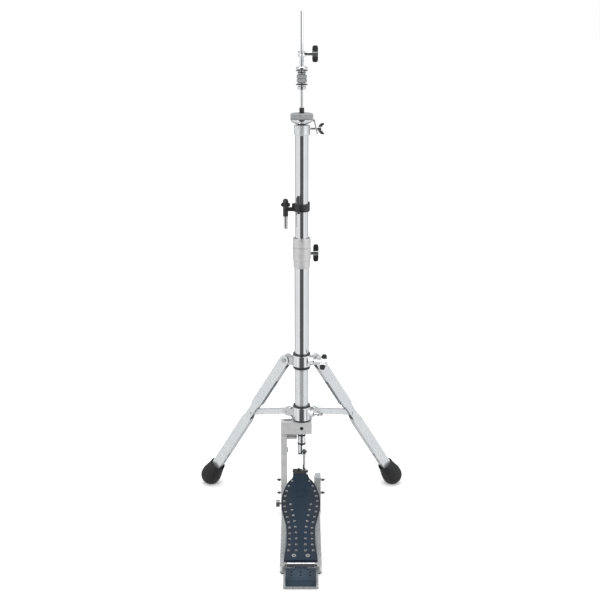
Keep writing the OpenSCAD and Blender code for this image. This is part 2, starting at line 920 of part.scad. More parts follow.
module lock_screw() {
    color(BLACK)
        on_lock_screw(upper_tube_r + 0.3) {
            bar_x(3, 0, 10);
            upright(4.4) {
                polygon([[8, -10], [12, -10], [13, -2], [15, 4], [15, 26], [8, 26]]);
                translate([11.5, 25.5]) circle(r = 3.5);
            }
        }
}

// Drum key: a square socket below, a winged handle above
module drum_key() {
    z0 = lock_z[0];
    z1 = lock_z[1];
    color(CHROME)
        translate([key_x, 0, 0]) {
            difference() {
                tube(key_r, z0 - 38, z0 + 9);
                translate([0, 0, z0 - 38]) cube([5.4, 5.4, 12], center = true);
            }
            tube(6, z0 + 8.4, z0 + 15);
            upright(5) {
                translate([-6, z0 + 10]) square([12, 8]);
                for (s = [-1, 1]) translate([s * 6, z0 + 14]) circle(r = 4);
            }
            tube(4.5, z0 + 13, z1 + 4);
            translate([0, 0, z1 + 4]) sphere(r = 6.2);
        }
}

// ---------- leg hub ----------

// A collar with a lug towards each leg and a boss for its screw
module collar(z, lug_r, lug_z, lug_end_r, lug_half, boss_z, boss_r) {
    difference() {
        union() {
            eased_tube(collar_r, z[0], z[1], collar_bore_r, 1);
            for (side = SIDES)
                rotate([0, 0, side[1]]) {
                    translate([lug_r, 0, lug_z]) rotate([90, 0, 0])
                        cylinder(r = lug_end_r, h = 2 * lug_half, center = true);
                    block([collar_r - 0.8, -lug_half, lug_z - lug_end_r],
                          [lug_r, lug_half, lug_z + lug_end_r]);
                }
            rotate([0, 0, collar_screw_azimuth])
                translate([0, 0, boss_z]) bar_x(boss_r, collar_bore_r, collar_r + 8);
        }
        translate([0, 0, z[0] - 20]) cylinder(r = collar_bore_r, h = 80);
        rotate([0, 0, collar_screw_azimuth])
            translate([0, 0, boss_z]) bar_x(3 + run_gap, 10, 40);
        // clamp slot
        rotate([0, 0, collar_screw_azimuth - 38])
            block([collar_r - 1.2, -1, z[0] + 3], [collar_r + 3, 1, z[1] - 3]);
    }
}

module upper_collar() {
    color(CHROME)
        difference() {
            collar(upper_collar_z, leg_pivot_r, leg_pivot_z, 9, leg_t / 2 - leg_wall - 0.4, hub_screw_z, 9);
            for (side = SIDES)
                rotate([0, 0, side[1]])
                    translate([leg_pivot_r, 0, leg_pivot_z]) rotate([90, 0, 0])
                        cylinder(r = leg_pin_r, h = 30, center = true);
        }
}

// Flanged bushings at both ends of a collar
module bushing_pair(z, low_r, high_r, flange) {
    tube(collar_bore_r, z[0], z[0] + 9, low_r + run_gap);
    tube(collar_r - 1.5, z[0] - flange[0], z[0], low_r + run_gap);
    tube(collar_bore_r, z[1] - 9, z[1], high_r + run_gap);
    tube(collar_r - 1.5, z[1], z[1] + flange[1], high_r + run_gap);
}

module hub_bushings() {
    color(BLACK) {
        // the lower one stays below the joint of the tubes
        tube(collar_bore_r, upper_collar_z[0], tube_join_z - 1, base_tube_r + run_gap);
        tube(collar_r - 1.5, upper_collar_z[0] - 6, upper_collar_z[0], base_tube_r + run_gap);
        tube(collar_bore_r, upper_collar_z[1] - 9, upper_collar_z[1], lower_tube_r + run_gap);
        tube(collar_r - 1.5, upper_collar_z[1], upper_collar_z[1] + 3.6, lower_tube_r + run_gap);
    }
}

module lower_bushings() {
    color(BLACK) bushing_pair(lower_collar_z, base_tube_r, base_tube_r, [3, 3.6]);
}

module leg_pins() {
    color(STEEL)
        for (side = SIDES)
            rotate([0, 0, side[1]])
                translate([leg_pivot_r, 0, leg_pivot_z])
                    rotate([90, 0, 0]) {
                        cylinder(r = leg_pin_r, h = leg_t + 2, center = true);
                        for (s = [-1, 1])
                            translate([0, 0, s * (leg_t / 2 + 1.3)]) cylinder(r = 5, h = 1.8, center = true);
                    }
}

// Puts the screw of a collar in place: X runs out along it, from its tip
module on_collar_screw(tip_r, z, turn) {
    rotate([0, 0, collar_screw_azimuth]) translate([tip_r, 0, z]) rotate([turn, 0, 0]) children();
}

module hub_wing_bolt() {
    color(CHROME)
        on_collar_screw(lower_tube_r + 0.7, hub_screw_z, hub_wing_turn)
            wing_screw(3, hub_wing_x, 13, 5.4, 18, 12.4);
}

module hub_wing_grips() {
    color(BLACK)
        on_collar_screw(lower_tube_r + 0.7, hub_screw_z, hub_wing_turn) wing_grips(hub_wing_x, 18);
}

module lower_collar() {
    ear_gap = brace_t / 2 + 0.4;
    color(CHROME)
        difference() {
            collar(lower_collar_z, brace_pivot_r, brace_pivot_z, 9, leg_t / 2 - leg_wall - 0.7,
                   collar_screw_z, 8);
            // the gap between each pair of ears
            for (side = SIDES)
                rotate([0, 0, side[1]]) {
                    block([collar_r + 3, -ear_gap, brace_pivot_z - 20],
                          [brace_pivot_r + 10, ear_gap, brace_pivot_z + 20]);
                    translate([brace_pivot_r, 0, brace_pivot_z]) rotate([90, 0, 0])
                        cylinder(r = leg_pin_r, h = 30, center = true);
                }
        }
}

module brace_pins() {
    color(STEEL)
        for (side = SIDES)
            rotate([0, 0, side[1]])
                translate([brace_pivot_r, 0, brace_pivot_z])
                    rotate([90, 0, 0])
                        cylinder(r = leg_pin_r, h = leg_t - 2 * leg_wall - 1.4, center = true);
}

// Square-headed screw of the lower collar
module collar_screw() {
    color(STEEL)
        on_collar_screw(base_tube_r + 1, collar_screw_z, 0) {
            bar_x(3, 0, 28);
            bar_x(5, 22, 24.5);
            translate([29, 0, 0]) cube([9, 5, 5], center = true);
        }
}

// ---------- legs, feet and braces ----------

// Puts a leg's own frame in place: X runs down the leg and Z points outward
module on_leg(azimuth) {
    rotate([0, 0, azimuth])
        translate([leg_pivot_r, 0, leg_pivot_z])
            rotate([0, 90 - leg_spread, 0]) children();
}

module leg(azimuth) {
    h = leg_w / 2;
    waist_h = h - 3;
    inner_h = h - leg_wall;
    on_leg(azimuth)
        difference() {
            union() {
                upright(leg_t) {
                    circle(r = h);
                    polygon([
                        [0, -h], [146, -h], [153, -waist_h], [190, -waist_h], [206, -h], [leg_end_a, -h],
                        [leg_end_a, h], [201, h], [187, waist_h], [156, waist_h], [150, h], [0, h]
                    ]);
                }
                // rivet heads of the brace joint
                translate([brace_joint_a, 0, 0]) rotate([90, 0, 0])
                    for (s = [-1, 1])
                        translate([0, 0, s * (leg_t / 2 + 0.8)]) cylinder(r = 4.6, h = 1.7, center = true);
            }
            // inside of the channel
            block([-20, -leg_t / 2 + leg_wall, -inner_h], [leg_end_a - 4, leg_t / 2 - leg_wall, inner_h]);
            // open top end, and the opening that takes the folded brace
            block([-20, -leg_t / 2 + leg_wall, -20], [0, leg_t / 2 - leg_wall, 20]);
            block([-1, -leg_t / 2 + leg_wall, -20], [20, leg_t / 2 - leg_wall, 0]);
            block([62, -leg_t / 2 + leg_wall, -20], [154, leg_t / 2 - leg_wall, 0]);
            // relief for the brace's end part way through the fold
            block([187, -brace_t / 2 - 1, 0], [202, brace_t / 2 + 1, 20]);
            // slots near the foot
            for (a = [322, 344])
                block([a, -3, -20], [a + 12, 3, 0]);
            rotate([90, 0, 0]) cylinder(r = leg_pin_r + run_gap, h = leg_t + 8, center = true);
        }
}

module foot(azimuth) {
    difference() {
        on_leg(azimuth)
            difference() {
                rotate([0, 90, 0])
                    rotate_extrude() {
                        polygon([
                            [0, 371], [17, 371], [18.2, 374], [19.5, 382], [22.6, 396],
                            [24.2, 406], [24.2, foot_a], [0, foot_a]
                        ]);
                        intersection() {
                            translate([0, foot_a]) circle(r = foot_r);
                            translate([0, 406]) square([30, 40]);
                        }
                    }
                block([300, -leg_t / 2, -leg_w / 2], [leg_end_a, leg_t / 2, leg_w / 2]);
            }
        block([-400, -400, -100], [400, 400, 0]);
    }
}

module brace(azimuth) {
    rotate([0, 0, azimuth])
        translate([brace_pivot_r, 0, brace_pivot_z])
            rotate([0, brace_slope, 0])
                difference() {
                    upright(brace_t) {
                        translate([0, -brace_h / 2]) square([brace_len, brace_h]);
                        circle(d = brace_h);
                        translate([brace_len, 0]) circle(d = brace_h);
                    }
                    rotate([90, 0, 0]) cylinder(r = leg_pin_r + run_gap, h = 20, center = true);
                    translate([brace_len, 0, 0]) rotate([90, 0, 0])
                        cylinder(r = leg_pin_r, h = 20, center = true);
                }
}

module leg_left() { color(SATIN) leg(SIDES[0][1]); }
module leg_right() { color(SATIN) leg(SIDES[1][1]); }
module foot_left() { color(BLACK) foot(SIDES[0][1]); }
module foot_right() { color(BLACK) foot(SIDES[1][1]); }
module brace_left() { color(SATIN) brace(SIDES[0][1]); }
module brace_right() { color(SATIN) brace(SIDES[1][1]); }

base_plate();
base_pad();
side_rails();
frame_casting();
heel_plate();
heel_hinge_leaf();
heel_hinge_pin();
frame_screws();
guide_bush();
base_tube();
lower_tube();
height_clamp();
height_bushing();
return_spring();
side_knob();
height_wing_bolt();
height_wing_grips();
footboard();
board_hinge_leaf();
board_fasteners();
toe_block();
drive_link();
clevis();
clevis_pin();
clevis_rings();
lower_pull_rod();
rod_coupling();
upper_rod();
clutch_body();
clutch_lock_nut();
clutch_washers();
clutch_felts();
clutch_bottom_nut();
clutch_wing_bolt();
clutch_wing_grips();
upper_tube();
tube_cap();
tilt_bracket();
seat_cup();
seat_felt();
seat_sleeve();
tilt_wing_bolt();
memory_lock();
lock_screw();
drum_key();
upper_collar();
hub_bushings();
leg_pins();
hub_wing_bolt();
hub_wing_grips();
lower_collar();
lower_bushings();
brace_pins();
collar_screw();
leg_left();
leg_right();
foot_left();
foot_right();
brace_left();
brace_right();
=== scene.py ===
"""Looks of the two-legged hi-hat stand: materials, detailed soft and moulded pieces, studio."""

import json
import math

import bmesh
import bpy
from mathutils import Matrix, Vector, noise


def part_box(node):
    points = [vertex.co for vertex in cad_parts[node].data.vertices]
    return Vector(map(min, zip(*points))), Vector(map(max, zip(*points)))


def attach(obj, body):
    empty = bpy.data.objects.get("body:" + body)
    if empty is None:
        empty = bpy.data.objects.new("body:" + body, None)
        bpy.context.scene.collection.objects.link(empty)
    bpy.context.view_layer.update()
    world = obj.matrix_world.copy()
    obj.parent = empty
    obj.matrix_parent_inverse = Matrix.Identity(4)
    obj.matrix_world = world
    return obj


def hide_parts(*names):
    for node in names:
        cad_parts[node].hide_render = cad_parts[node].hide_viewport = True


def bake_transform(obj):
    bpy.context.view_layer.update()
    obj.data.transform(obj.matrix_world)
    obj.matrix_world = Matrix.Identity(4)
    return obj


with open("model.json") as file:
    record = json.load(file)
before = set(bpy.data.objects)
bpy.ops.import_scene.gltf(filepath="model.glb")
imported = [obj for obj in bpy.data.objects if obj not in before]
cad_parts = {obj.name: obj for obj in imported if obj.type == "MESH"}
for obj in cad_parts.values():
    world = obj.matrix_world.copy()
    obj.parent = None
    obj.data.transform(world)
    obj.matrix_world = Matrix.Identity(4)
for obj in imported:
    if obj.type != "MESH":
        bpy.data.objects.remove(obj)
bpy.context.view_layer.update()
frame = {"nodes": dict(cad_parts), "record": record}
NODES = frame["nodes"]
MM = 0.001
GOLDEN_ANGLE = math.pi * (3 - math.sqrt(5))


# ---------- shader helpers ----------


class Shader:
    """A new material and short calls that add and link its nodes."""

    def __init__(self, name):
        self.mat = bpy.data.materials.new(name)
        self.mat.use_nodes = True
        self.tree = self.mat.node_tree
        self.bsdf = self.tree.nodes["Principled BSDF"]
        coords = self.add("ShaderNodeTexCoord")
        self.coords = coords.outputs["Object"]

    def add(self, kind, **values):
        node = self.tree.nodes.new(kind)
        for key, value in values.items():
            setattr(node, key, value)
        return node

    def link(self, source, target):
        self.tree.links.new(source, target)

    def stretch(self, scale):
        """Object coordinates, scaled differently along each axis."""
        mapping = self.add("ShaderNodeMapping")
        mapping.inputs["Scale"].default_value = scale
        self.link(self.coords, mapping.inputs["Vector"])
        return mapping.outputs["Vector"]

    def noise(self, scale, detail=4.0, roughness=0.6, coords=None):
        node = self.add("ShaderNodeTexNoise")
        node.inputs["Scale"].default_value = scale
        node.inputs["Detail"].default_value = detail
        node.inputs["Roughness"].default_value = roughness
        self.link(coords or self.coords, node.inputs["Vector"])
        return node.outputs["Fac"]

    def cells(self, scale, feature="F1", coords=None):
        node = self.add("ShaderNodeTexVoronoi", feature=feature)
        node.inputs["Scale"].default_value = scale
        self.link(coords or self.coords, node.inputs["Vector"])
        return node.outputs["Distance"]

    def ramp(self, fac, low, high, start=0.3, end=0.7):
        """A colour ramp from low at start to high at end."""
        node = self.add("ShaderNodeValToRGB")
        for stop, place, value in zip(node.color_ramp.elements, (start, end), (low, high)):
            stop.position = place
            stop.color = (*value, 1) if isinstance(value, tuple) else (value, value, value, 1)
        self.link(fac, node.inputs["Fac"])
        return node.outputs["Color"]

    def mix(self, fac, a, b, blend="MIX"):
        node = self.add("ShaderNodeMix", data_type="RGBA", blend_type=blend)
        for socket, value in ((node.inputs[0], fac), (node.inputs[6], a), (node.inputs[7], b)):
            if isinstance(value, (int, float)):
                socket.default_value = value if socket.type == "VALUE" else (value, value, value, 1)
            elif isinstance(value, tuple):
                socket.default_value = (*value, 1)
            else:
                self.link(value, socket)
        return node.outputs[2]

    def bump(self, height, distance, strength=1.0, normal=None):
        node = self.add("ShaderNodeBump")
        node.inputs["Distance"].default_value = distance
        node.inputs["Strength"].default_value = strength
        self.link(height, node.inputs["Height"])
        if normal is not None:
            self.link(normal, node.inputs["Normal"])
        return node.outputs["Normal"]

    def set(self, **values):
        """Sets or links the principled shader's sockets, written with _ for spaces."""
        for key, value in values.items():
            socket = self.bsdf.inputs[key.replace("_", " ")]
            if isinstance(value, bpy.types.NodeSocket):
                self.link(value, socket)
            elif isinstance(value, tuple):
                socket.default_value = (*value, 1)
            else:
                socket.default_value = value
        return self


# ---------- materials ----------


def chrome(name="chrome", tone=0.80, polish=0.045):
    """Polished plating: faint smears, hairline scratches and a little orange peel."""
    s = Shader(name)
    smear = s.noise(38, 5, 0.65)
    grain = s.noise(900, 3, 0.6, s.stretch((1, 1, 0.05)))
    rough = s.mix(s.ramp(grain, 0.0, 1.0, 0.45, 0.75), s.ramp(smear, polish, polish + 0.07), 0.16)
    colour = s.ramp(smear, (tone * 0.95, tone * 0.965, tone * 0.98), (tone, tone * 1.01, tone * 1.02))
    peel = s.bump(s.noise(260, 2), 0.00004, 0.35)
    s.set(Base_Color=colour, Metallic=1.0, Roughness=rough, Normal=s.bump(grain, 0.00002, 0.25, peel))
    return s.mat


def satin_metal():
    """Dull plating on rolled steel: fine grain, with duller and brighter patches."""
    s = Shader("satin_metal")
    grain = s.noise(420, 4, 0.7, s.stretch((1, 1, 0.12)))
    patch = s.noise(14, 4, 0.6)
    colour = s.mix(0.35, s.ramp(grain, (0.63, 0.65, 0.66), (0.68, 0.70, 0.71)),
                   s.ramp(patch, (0.62, 0.64, 0.66), (0.70, 0.72, 0.72)))
    rough = s.mix(0.5, s.ramp(grain, 0.20, 0.34), s.ramp(patch, 0.22, 0.36))
    s.set(Base_Color=colour, Metallic=0.72, Roughness=rough, Normal=s.bump(grain, 0.00002, 0.12))
    return s.mat


def cast_aluminium(name="cast_aluminium", tone=1.0):
    """Bead-blasted casting: pitted skin over slow unevenness."""
    s = Shader(name)
    pits = s.cells(1500)
    lumps = s.noise(130, 5, 0.6)
    colour = s.mix(0.4, s.ramp(lumps, 0.56 * tone, 0.68 * tone),
                   s.ramp(pits, 0.50 * tone, 0.70 * tone, 0.0, 0.7))
    normal = s.bump(pits, 0.00009, 0.6, s.bump(lumps, 0.0003, 0.35))
    s.set(Base_Color=colour, Metallic=0.55, Roughness=s.ramp(lumps, 0.38, 0.52), Normal=normal)
    return s.mat


def steel(name="steel", tone=1.0):
    """Turned and plated fasteners."""
    s = Shader(name)
    rings = s.noise(700, 3, 0.6, s.stretch((0.2, 1, 1)))
    s.set(Base_Color=s.ramp(rings, 0.42 * tone, 0.60 * tone), Metallic=1.0,
          Roughness=s.ramp(rings, 0.18, 0.34), Normal=s.bump(rings, 0.00004, 0.5))
    return s.mat


def rubber():
    """Moulded rubber: a fine grain, a grey bloom and scuffed patches."""
    s = Shader("black_rubber")
    grain = s.noise(1300, 3, 0.7)
    bloom = s.noise(45, 5, 0.65)
    colour = s.mix(s.ramp(bloom, 0.0, 0.5, 0.45, 0.8), (0.010, 0.010, 0.011), (0.030, 0.030, 0.031))
    normal = s.bump(grain, 0.00010, 0.5, s.bump(bloom, 0.0004, 0.2))
    s.set(Base_Color=colour, Roughness=s.ramp(bloom, 0.50, 0.72), Normal=normal, Specular_IOR_Level=0.35)
    return s.mat


def plastic():
    """Black nylon with a light spark-eroded texture."""
    s = Shader("black_plastic")
    texture = s.noise(1800, 2, 0.5)
    drift = s.noise(60, 4, 0.6)
    colour = s.ramp(drift, (0.012, 0.012, 0.013), (0.026, 0.026, 0.028))
    s.set(Base_Color=colour, Roughness=s.ramp(drift, 0.32, 0.48), Normal=s.bump(texture, 0.00006, 0.6),
          Specular_IOR_Level=0.45)
    return s.mat


def felt():
    """Pressed wool: matted fibres in several greys, with a soft sheen."""
    s = Shader("grey_felt")
    fibres = s.noise(620, 8, 0.75)
    strands = s.cells(900, coords=s.stretch((1, 1, 3.2)))
    clumps = s.noise(120, 4, 0.6)
    colour = s.mix(0.5, s.ramp(fibres, (0.075, 0.08, 0.085), (0.36, 0.37, 0.38), 0.34, 0.66),
                   s.ramp(clumps, (0.14, 0.145, 0.15), (0.27, 0.28, 0.285)))
    normal = s.bump(strands, 0.0005, 0.7, s.bump(fibres, 0.0008, 0.9))
    s.set(Base_Color=colour, Roughness=1.0, Normal=normal, Specular_IOR_Level=0.1, Sheen_Weight=0.5,
          Sheen_Roughness=0.6, Sheen_Tint=(0.6, 0.6, 0.6))
    return s.mat


def coated(name, middle, side, half, rough):
    """Blue coating on machined metal: a faint mill grain, deeper colour towards the sides."""
    s = Shader(name)
    split = s.add("ShaderNodeSeparateXYZ")
    s.link(s.coords, split.inputs[0])
    shift = s.add("ShaderNodeMath", operation="ADD")
    shift.inputs[1].default_value = 2 * MM
    s.link(split.outputs["X"], shift.inputs[0])
    width = s.add("ShaderNodeMath", operation="ABSOLUTE")
    s.link(shift.outputs[0], width.inputs[0])
    spread = s.add("ShaderNodeMath", operation="DIVIDE")
    spread.inputs[1].default_value = half
    s.link(width.outputs[0], spread.inputs[0])
    grain = s.noise(300, 4, 0.65, s.stretch((1, 0.06, 1)))
    cloud = s.noise(30, 4, 0.6)
    base = s.ramp(spread.outputs[0], middle, side, 0.35, 0.95)
    worn = s.mix(s.ramp(grain, 0.0, 0.35, 0.5, 0.8), base, tuple(c * 1.5 + 0.01 for c in middle))
    colour = s.mix(s.ramp(cloud, 0.0, 0.25, 0.4, 0.8), worn, tuple(c * 0.7 for c in middle))
    s.set(Base_Color=colour, Metallic=0.15, Roughness=s.ramp(cloud, rough, rough + 0.12),
          Normal=s.bump(grain, 0.00004, 0.5), Specular_IOR_Level=0.22)
    return s.mat


def part_black(name, axis, limits):
    """Plated metal that is moulded black nylon where limits[0] < axis < limits[1], in metres."""
    s = Shader(name)
    split = s.add("ShaderNodeSeparateXYZ")
    s.link(s.coords, split.inputs[0])
    inside = []
    for operation, limit in zip(("GREATER_THAN", "LESS_THAN"), limits):
        node = s.add("ShaderNodeMath", operation=operation)
        node.inputs[1].default_value = limit
        s.link(split.outputs[axis], node.inputs[0])
        inside.append(node.outputs[0])
    black = s.add("ShaderNodeMath", operation="MULTIPLY")
    s.link(inside[0], black.inputs[0])
    s.link(inside[1], black.inputs[1])
    metal = s.add("ShaderNodeMath", operation="SUBTRACT")
    metal.inputs[0].default_value = 1
    s.link(black.outputs[0], metal.inputs[1])
    drift = s.noise(60, 4, 0.6)
    colour = s.mix(black.outputs[0], s.ramp(drift, 0.62, 0.74), s.ramp(drift, 0.012, 0.026))
    rough = s.mix(black.outputs[0], s.ramp(drift, 0.08, 0.16), s.ramp(drift, 0.34, 0.50))
    s.set(Base_Color=colour, Metallic=metal.outputs[0], Roughness=rough,
          Normal=s.bump(s.noise(1800, 2), 0.00004, 0.4))
    return s.mat


MATERIALS = {
    "chrome": chrome(),
    "satin_metal": satin_metal(),
    "cast_aluminium": cast_aluminium(),
    "steel": steel(),
    "black_rubber": rubber(),
    "black_plastic": plastic(),
    "grey_felt": felt(),
    "blue_board": coated("blue_board", (0.011, 0.023, 0.041), (0.020, 0.023, 0.031), 40 * MM, 0.46),
    "blue_heel": coated("blue_heel", (0.032, 0.052, 0.076), (0.024, 0.034, 0.046), 34 * MM, 0.42),
}
OWN_MATERIALS = {
    "board_fasteners": steel("dull_screws", 0.5),
    "height_clamp": cast_aluminium("clamp_casting", 0.84),
    "drum_key": part_black("key_handle", "Z", (0.7205, 0.80)),
    "frame_screws": part_black("black_set_screw", "Z", (0.20, 0.25)),
    "tilt_wing_bolt": part_black("tilt_wing_tips", "X", (0.0405, 0.06)),
}
SLOT_OF = {row["node"]: row["material_slot"] for row in frame["record"]["subparts"]}


def smooth_by_angle(mesh, angle):
    """Rounded surfaces shade smooth and edges sharper than angle stay crisp."""
    mesh.shade_smooth()
    mesh.set_sharp_from_angle(angle=angle)


def finish_cad_nodes():
    """Gives every CAD node the material of its slot."""
    for name, node in NODES.items():
        node.data.materials.clear()
        node.data.materials.append(OWN_MATERIALS.get(name, MATERIALS[SLOT_OF[name]]))


# ---------- mesh helpers ----------


def new_piece(name, bm, slot, body, replaces, transform=None, sharp=35):
    """Turns a bmesh into a piece that rides on body and stands for a CAD node."""
    bmesh.ops.recalc_face_normals(bm, faces=bm.faces)
    mesh = bpy.data.meshes.new(name)
    bm.to_mesh(mesh)
    bm.free()
    if transform is not None:
        mesh.transform(transform)
    smooth_by_angle(mesh, math.radians(sharp))
    mesh.materials.append(MATERIALS[slot])
    piece = bpy.data.objects.new(name, mesh)
    bpy.context.scene.collection.objects.link(piece)
    if body:
        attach(piece, body)
    if replaces:
        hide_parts(replaces)
    return piece


def join_part(bm, part):
    """Adds a finished part's mesh to bm and frees the part."""
    mesh = bpy.data.meshes.new("part")
    part.to_mesh(mesh)
    part.free()
    bm.from_mesh(mesh)
    bpy.data.meshes.remove(mesh)


def lathe(bm, profile, steps=96, shape=None):
    """A closed profile of (radius, height) turned about Z. shape(vertex) may move each point."""
    rings = []
    for i in range(steps):
        a = 2 * math.pi * i / steps
        ring = []
        for r, z in profile:
            point = Vector((r * math.cos(a), r * math.sin(a), z))
            ring.append(bm.verts.new(shape(point, a) if shape else point))
        rings.append(ring)
    count = len(profile)
    for i in range(steps):
        here, there = rings[i], rings[(i + 1) % steps]
        for k in range(count):
            n = (k + 1) % count
            bm.faces.new((here[k], there[k], there[n], here[n]))


def arc(cx, cy, r, start, end, steps):
    """Points round a circle, angles in degrees."""
    angles = [math.radians(start + (end - start) * i / steps) for i in range(steps + 1)]
    return [(cx + r * math.cos(a), cy + r * math.sin(a)) for a in angles]


# ---------- felts ----------


def felt_profile(bore, r, z0, z1, soft):
    """A felt washer's section: soft rounded outer edges and a slightly bellied side."""
    belly = 0.25 * MM
    straight = z1 - z0 - 2 * soft
    side = [(r + belly * math.sin(math.pi * i / 6), z0 + soft + straight * i / 6) for i in range(1, 6)]
    inner = [(bore + (r - soft - bore) * i / 14, z0) for i in range(15)]
    top = [(bore + (r - soft - bore) * i / 14, z1) for i in range(14, -1, -1)]
    bore_wall = [(bore, z1 - (z1 - z0) * i / 6) for i in range(1, 6)]
    return (inner + arc(r - soft, z0 + soft, soft, -80, 0, 5) + side
            + arc(r - soft, z1 - soft, soft, 0, 80, 5) + top + bore_wall)


def fuzz(bm, amount, scale):
    """Roughens a felt's surface along its normals."""
    bm.normal_update()
    moves = []
    for vert in bm.verts:
        rough = noise.fractal(vert.co * scale, 0.6, 2.1, 5) + 0.4 * noise.noise(vert.co * scale * 4)
        moves.append((vert, vert.normal * amount * rough))
    for vert, move in moves:
        vert.co += move


def stray_fibres(bm, profile_r, z0, z1, count, length, seed):
    """Short fibres that stand out of a felt's side and edges."""
    for i in range(count):
        key = Vector((seed + i * 0.37, i * 1.71, seed * 0.5))
        a = i * GOLDEN_ANGLE
        z = z0 + (z1 - z0) * (0.5 + 0.5 * math.sin(i * 12.9898 + seed))
        root = Vector((profile_r * math.cos(a), profile_r * math.sin(a), z))
        out = Vector((math.cos(a), math.sin(a), 0.8 * noise.noise(key * 3)))
        side = Vector((-math.sin(a), math.cos(a), 0)) * noise.noise(key * 5) * 1.6
        width = Vector((-math.sin(a), math.cos(a), 0.4)).normalized() * 0.035 * MM
        mid = root + (out * 0.5 + side * 0.3) * length
        tip = root + (out * 0.75 + side) * length
        start = root - out * 0.4 * MM
        points = [start - width, start + width, mid + width * 0.8, mid - width * 0.8]
        verts = [bm.verts.new(p) for p in points]
        end = bm.verts.new(tip)
        low = bm.verts.new(start + Vector((0, 0, -0.05 * MM)))
        bm.faces.new(verts)
        bm.faces.new((verts[3], verts[2], end))
        bm.faces.new((verts[0], verts[3], end, low))
        bm.faces.new((verts[1], low, end, verts[2]))
        bm.faces.new((verts[0], low, verts[1]))


def felt_washer(bm, bore, r, z0, z1, soft, seed):
    own = bmesh.new()
    lathe(own, felt_profile(bore, r, z0, z1, soft), 160)
    fuzz(own, 0.28 * MM, 420)
    stray_fibres(own, r, z0 + soft * 0.5, z1 - soft * 0.5, 360, 0.9 * MM, seed)
    join_part(bm, own)


def make_felts():
    low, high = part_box("seat_felt")
    r = (high[0] - low[0]) / 2
    bm = bmesh.new()
    felt_washer(bm, 5.3 * MM, r - 0.3 * MM, low[2] + 0.1 * MM, high[2] - 0.2 * MM, 2.6 * MM, 1)
    new_piece("seat_felt_pressed", bm, "grey_felt", "seat", "seat_felt", sharp=80)
    low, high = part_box("clutch_felts")
    r = (high[0] - low[0]) / 2
    middle = (low[2] + high[2]) / 2
    bm = bmesh.new()
    for n, (z0, z1) in enumerate(((low[2], middle - 0.2 * MM), (middle + 0.2 * MM, high[2]))):
        felt_washer(bm, 4.7 * MM, r - 0.2 * MM, z0 + 0.1 * MM, z1 - 0.1 * MM, 1.8 * MM, 3 + n)
    new_piece("clutch_felts_pressed", bm, "grey_felt", "clutch", "clutch_felts", sharp=80)


# ---------- rubber feet ----------

LEG_PIVOT = (41.7 * MM, 368 * MM)
LEG_SPREAD = math.radians(33)


def leg_matrix(azimuth):
    """The leg's own frame: Z runs down the leg from its pivot."""
    turn = Matrix.Rotation(azimuth, 4, "Z")
    move = Matrix.Translation((LEG_PIVOT[0], 0, LEG_PIVOT[1]))
    return turn @ move @ Matrix.Rotation(math.pi - LEG_SPREAD, 4, "Y")


def foot_profile():
    """Outside of the boot from its mouth to its sole, then back up the sleeve inside."""
    mouth = arc(17.4, 372.2, 1.2, 180, 330, 6)
    body = [(18.6, 375), (19.2, 379), (20.1, 385), (21.4, 391), (22.7, 397), (23.7, 402), (24.2, 407)]
    dome = arc(0, 413, 24.3, -4, 88, 22)
    inside = [(0.05, 391), (9, 391), (15.6, 390), (16.0, 380)]
    return [(r * MM, z * MM) for r, z in mouth + body + dome + inside]


def make_feet():
    for side, azimuth in (("left", math.radians(147)), ("right", math.radians(33))):
        bm = bmesh.new()

        def ribs(point, a):
            """Shallow flutes round the boot that fade towards both ends."""
            z = point.z / MM
            fade = max(0.0, math.sin(math.pi * min(max((z - 382) / 36, 0), 1)))
            flute = 0.5 * (1 + math.cos(a * 14))
            r = math.hypot(point.x, point.y)
            k = 1 - 0.9 * MM * fade * flute ** 4 / max(r, 1e-6)
            return Vector((point.x * k, point.y * k, point.z))

        lathe(bm, foot_profile(), 140, ribs)
        bmesh.ops.remove_doubles(bm, verts=bm.verts, dist=0.00002)
        bmesh.ops.transform(bm, matrix=leg_matrix(azimuth), verts=bm.verts)
        for vert in bm.verts:
            if vert.co.z < 0.3 * MM:
                vert.co.z = 0.0
        new_piece(f"foot_{side}_boot", bm, "black_rubber", f"leg_{side}", f"foot_{side}")


# ---------- wing grips ----------


def grip_pad(bm, centre, out, up, half_length):
    """A rounded moulded sleeve over one wing, narrower at its outer end, with shallow ribs."""
    own = bmesh.new()
    bmesh.ops.create_cube(own, size=2)
    bmesh.ops.subdivide_edges(own, edges=own.edges, cuts=13, use_grid_fill=True)
    across = out.cross(up)
    for vert in own.verts:
        p = vert.co.copy()
        power = (abs(p.x) ** 4 + abs(p.y) ** 4 + abs(p.z) ** 4) ** 0.25
        p = p * (max(abs(p.x), abs(p.y), abs(p.z)) / max(power, 1e-6))
        taper = 1 - 0.13 * p.y
        rib = 1 + 0.05 * math.cos(p.y * 17) * (1 - min(1, abs(p.y)) ** 6)
        vert.co = (centre + out * p.x * 5.9 * MM * taper + up * p.y * half_length
                   + across * p.z * 3.0 * MM * rib)
    join_part(bm, own)


